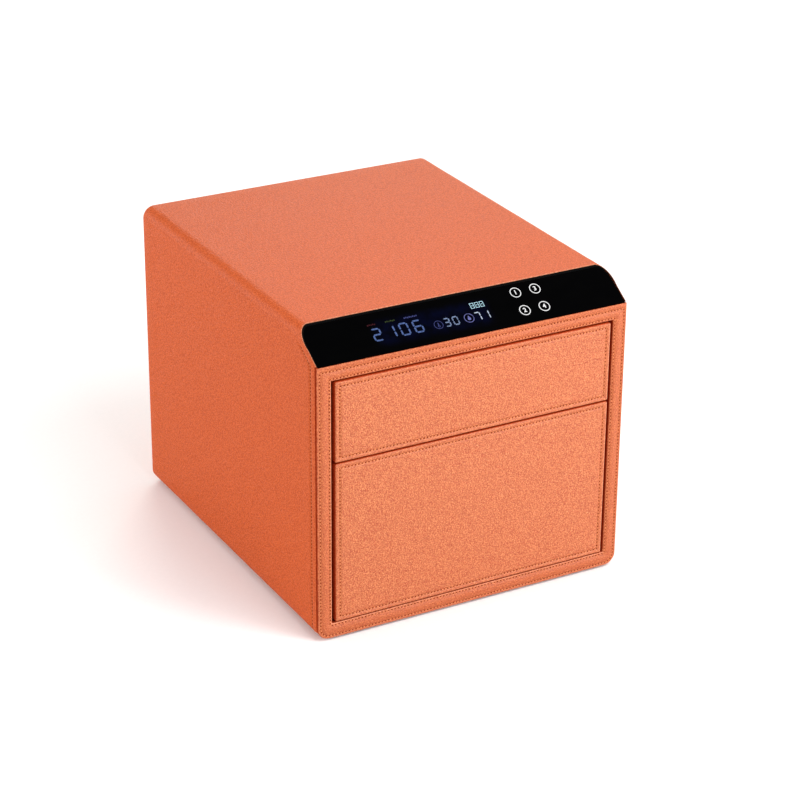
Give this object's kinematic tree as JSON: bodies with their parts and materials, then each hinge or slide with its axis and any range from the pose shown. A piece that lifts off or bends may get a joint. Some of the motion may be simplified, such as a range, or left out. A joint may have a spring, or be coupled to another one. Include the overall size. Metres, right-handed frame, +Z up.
{
  "type": "drawer safe",
  "caption": "Leather-clad box safe with stacked sliding drawers, a slanted glass touch panel with a lit display, electric bolt locks and an emergency key lock in the back.",
  "frame": {"origin": "on the floor under the middle of the body", "axes": "+Z up, the drawers open towards -Y"},
  "size_m": [0.3, 0.35, 0.28],
  "materials": {
    "leather": "fine pebbled grain, satin",
    "coated_steel": "fine powder coat",
    "zinc_steel": "bright zinc plate",
    "ball_steel": "polished",
    "black_glass": "gloss, black backed",
    "black_plastic": "fine texture",
    "circuit_board": "solder mask",
    "cell_wrap": "shrink film",
    "wire_red": "cable sheath",
    "coil_copper": "lacquered copper winding",
    "key_brass": "satin",
    "nylon": "moulded",
    "felt": "short nap felt",
    "rubber": "matt"
  },
  "bodies": {
    "cabinet": {"leather_sleeve": "leather", "front_frame": "leather", "rear_cover": "leather", "steel_casing": "coated_steel", "bay_side_left": "coated_steel", "bay_side_right": "coated_steel", "bay_ceiling": "coated_steel", "bay_shelf": "coated_steel", "rubber_feet": "rubber", "glass_panel": "black_glass", "panel_carrier": "black_plastic", "touch_board": "circuit_board", "display_module": "black_plastic", "control_board": "circuit_board", "battery_holder": "black_plastic", "battery_cells": "cell_wrap", "charging_port": "zinc_steel", "key_barrel": "zinc_steel", "key_nut": "zinc_steel", "override_switch": "black_plastic", "wiring_harness": "wire_red", "cabinet_screws": "zinc_steel", "upper_rail_left": "zinc_steel", "upper_rail_right": "zinc_steel", "lower_rail_left": "zinc_steel", "lower_rail_right": "zinc_steel", "upper_lock_frame": "zinc_steel", "upper_lock_coil": "coil_copper", "lower_lock_frame": "zinc_steel", "lower_lock_coil": "coil_copper", "upper_ejector_barrel": "black_plastic", "upper_ejector_spring": "zinc_steel", "lower_ejector_barrel": "black_plastic", "lower_ejector_spring": "zinc_steel"},
    "upper_drawer": {"upper_drawer_front": "leather", "upper_drawer_tray": "coated_steel", "upper_drawer_lining": "felt", "upper_runner_left": "zinc_steel", "upper_runner_right": "zinc_steel", "upper_strike": "zinc_steel", "upper_drawer_screws": "zinc_steel"},
    "upper_cages": {"upper_cage_left": "nylon", "upper_cage_right": "nylon", "upper_slide_balls": "ball_steel"},
    "upper_bolt": {"upper_lock_bolt": "zinc_steel"},
    "upper_ejector": {"upper_ejector_plunger": "nylon"},
    "lower_drawer": {"lower_drawer_front": "leather", "lower_drawer_tray": "coated_steel", "lower_drawer_lining": "felt", "lower_runner_left": "zinc_steel", "lower_runner_right": "zinc_steel", "lower_strike": "zinc_steel", "lower_drawer_screws": "zinc_steel"},
    "lower_cages": {"lower_cage_left": "nylon", "lower_cage_right": "nylon", "lower_slide_balls": "ball_steel"},
    "lower_bolt": {"lower_lock_bolt": "zinc_steel"},
    "lower_ejector": {"lower_ejector_plunger": "nylon"},
    "key": {"key_plug": "key_brass", "key_cam": "zinc_steel"}
  },
  "joints": [
    {"name": "upper_drawer_slide", "type": "slide", "parent": "cabinet", "child": "upper_drawer", "axis": [0, -1, 0], "range_m": [0, 0.19]},
    {"name": "upper_cage_slide", "type": "slide", "parent": "cabinet", "child": "upper_cages", "axis": [0, -1, 0], "range_m": [0, 0.095]},
    {"name": "upper_ejector_slide", "type": "slide", "parent": "cabinet", "child": "upper_ejector", "axis": [0, -1, 0], "range_m": [0, 0.024], "deforming": ["upper_ejector_spring"]},
    {"name": "upper_bolt_slide", "type": "slide", "parent": "cabinet", "child": "upper_bolt", "axis": [1, 0, 0], "range_m": [0, 0.01]},
    {"name": "lower_drawer_slide", "type": "slide", "parent": "cabinet", "child": "lower_drawer", "axis": [0, -1, 0], "range_m": [0, 0.19]},
    {"name": "lower_cage_slide", "type": "slide", "parent": "cabinet", "child": "lower_cages", "axis": [0, -1, 0], "range_m": [0, 0.095]},
    {"name": "lower_ejector_slide", "type": "slide", "parent": "cabinet", "child": "lower_ejector", "axis": [0, -1, 0], "range_m": [0, 0.024], "deforming": ["lower_ejector_spring"]},
    {"name": "lower_bolt_slide", "type": "slide", "parent": "cabinet", "child": "lower_bolt", "axis": [1, 0, 0], "range_m": [0, 0.01]},
    {"name": "key_turn", "type": "hinge", "parent": "cabinet", "child": "key", "pos_m": [0.1, 0.16, 0.2604], "axis": [0, 1, 0], "range_deg": [0, 90]}
  ],
  "couplings": [
    {"joint": "upper_cage_slide", "follows": "upper_drawer_slide", "ratio": 0.5},
    {"joint": "upper_ejector_slide", "follows": "upper_drawer_slide", "ratio": 0.1263},
    {"joint": "lower_cage_slide", "follows": "lower_drawer_slide", "ratio": 0.5},
    {"joint": "lower_ejector_slide", "follows": "lower_drawer_slide", "ratio": 0.1263}
  ]
}
